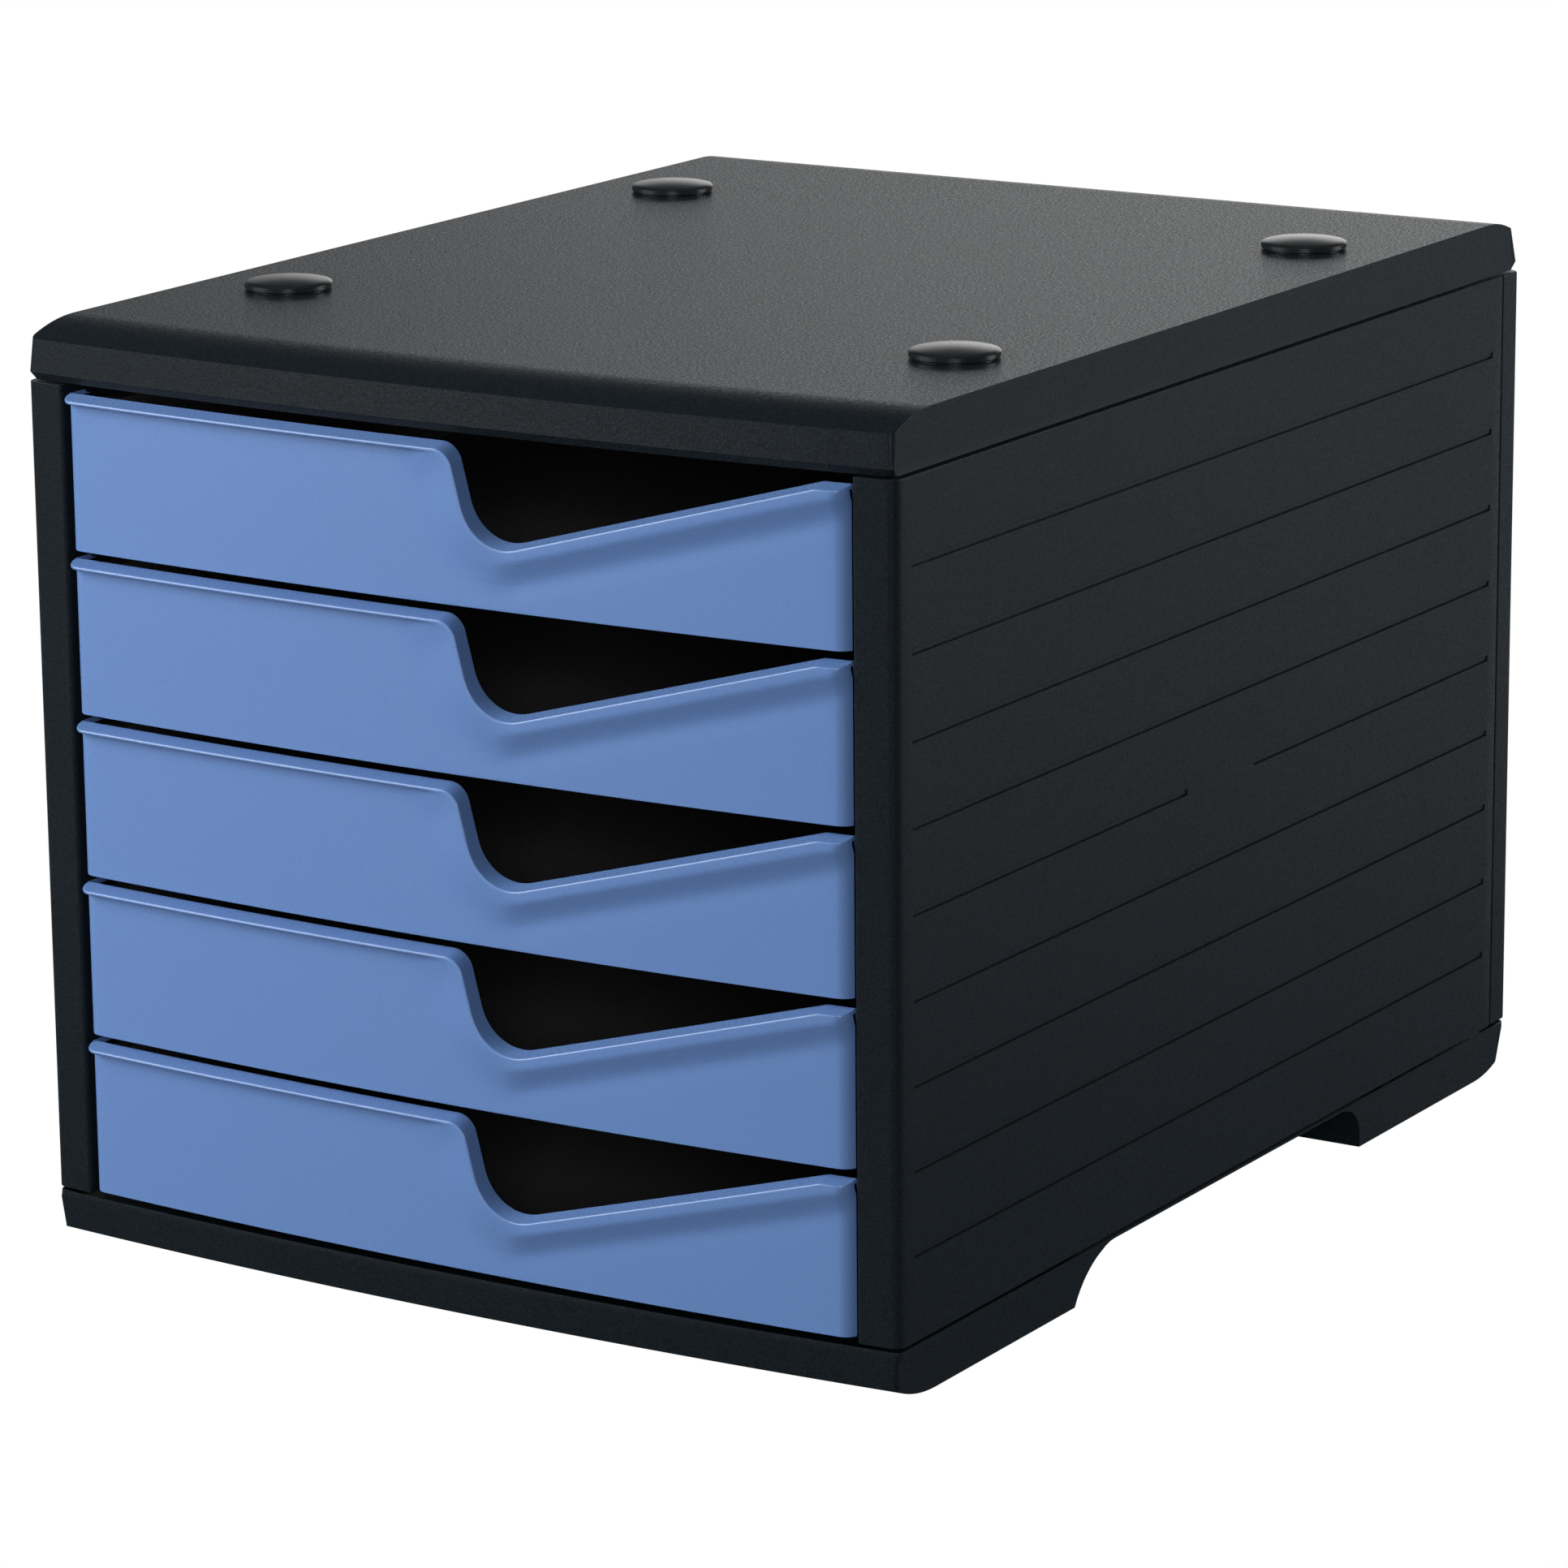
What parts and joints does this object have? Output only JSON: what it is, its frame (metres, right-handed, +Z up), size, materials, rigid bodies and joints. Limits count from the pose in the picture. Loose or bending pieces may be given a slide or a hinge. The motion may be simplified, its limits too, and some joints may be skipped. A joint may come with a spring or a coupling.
{
  "type": "desk file box with drawers",
  "caption": "Stackable desktop file box: a housing on two feet with pull-out trays that have bowed fronts and finger cut-outs.",
  "frame": {"origin": "middle of the footprint of the whole box, on the surface it stands on", "axes": "+Z up, +X to the right as one faces the drawers, drawers pull out towards -Y"},
  "size_m": [0.284, 0.3746, 0.2727],
  "materials": {
    "housing": "fine grained moulded plastic, almost black",
    "button": "satin moulded plastic, almost black",
    "pad": "soft dark rubber",
    "drawer_tray": "satin moulded plastic, black",
    "drawer_front": "satin moulded plastic, mid blue"
  },
  "bodies": {
    "housing": {"top_cover": "housing", "base": "housing", "side_panel_left": "housing", "side_panel_right": "housing", "back_panel": "housing", "stacking_button_front_left": "button", "stacking_button_front_right": "button", "stacking_button_rear_left": "button", "stacking_button_rear_right": "button", "foot_pad_front_left": "pad", "foot_pad_front_right": "pad", "foot_pad_rear_left": "pad", "foot_pad_rear_right": "pad"},
    "drawer_1": {"drawer_front_1": "drawer_front", "drawer_tray_1": "drawer_tray"},
    "drawer_2": {"drawer_front_2": "drawer_front", "drawer_tray_2": "drawer_tray"},
    "drawer_3": {"drawer_front_3": "drawer_front", "drawer_tray_3": "drawer_tray"},
    "drawer_4": {"drawer_front_4": "drawer_front", "drawer_tray_4": "drawer_tray"},
    "drawer_5": {"drawer_front_5": "drawer_front", "drawer_tray_5": "drawer_tray"}
  },
  "joints": [
    {"name": "drawer_1_slide", "type": "slide", "parent": "housing", "child": "drawer_1", "axis": [0, -1, 0], "range_m": [0, 0.25]},
    {"name": "drawer_2_slide", "type": "slide", "parent": "housing", "child": "drawer_2", "axis": [0, -1, 0], "range_m": [0, 0.25]},
    {"name": "drawer_3_slide", "type": "slide", "parent": "housing", "child": "drawer_3", "axis": [0, -1, 0], "range_m": [0, 0.25]},
    {"name": "drawer_4_slide", "type": "slide", "parent": "housing", "child": "drawer_4", "axis": [0, -1, 0], "range_m": [0, 0.25]},
    {"name": "drawer_5_slide", "type": "slide", "parent": "housing", "child": "drawer_5", "axis": [0, -1, 0], "range_m": [0, 0.25]}
  ]
}
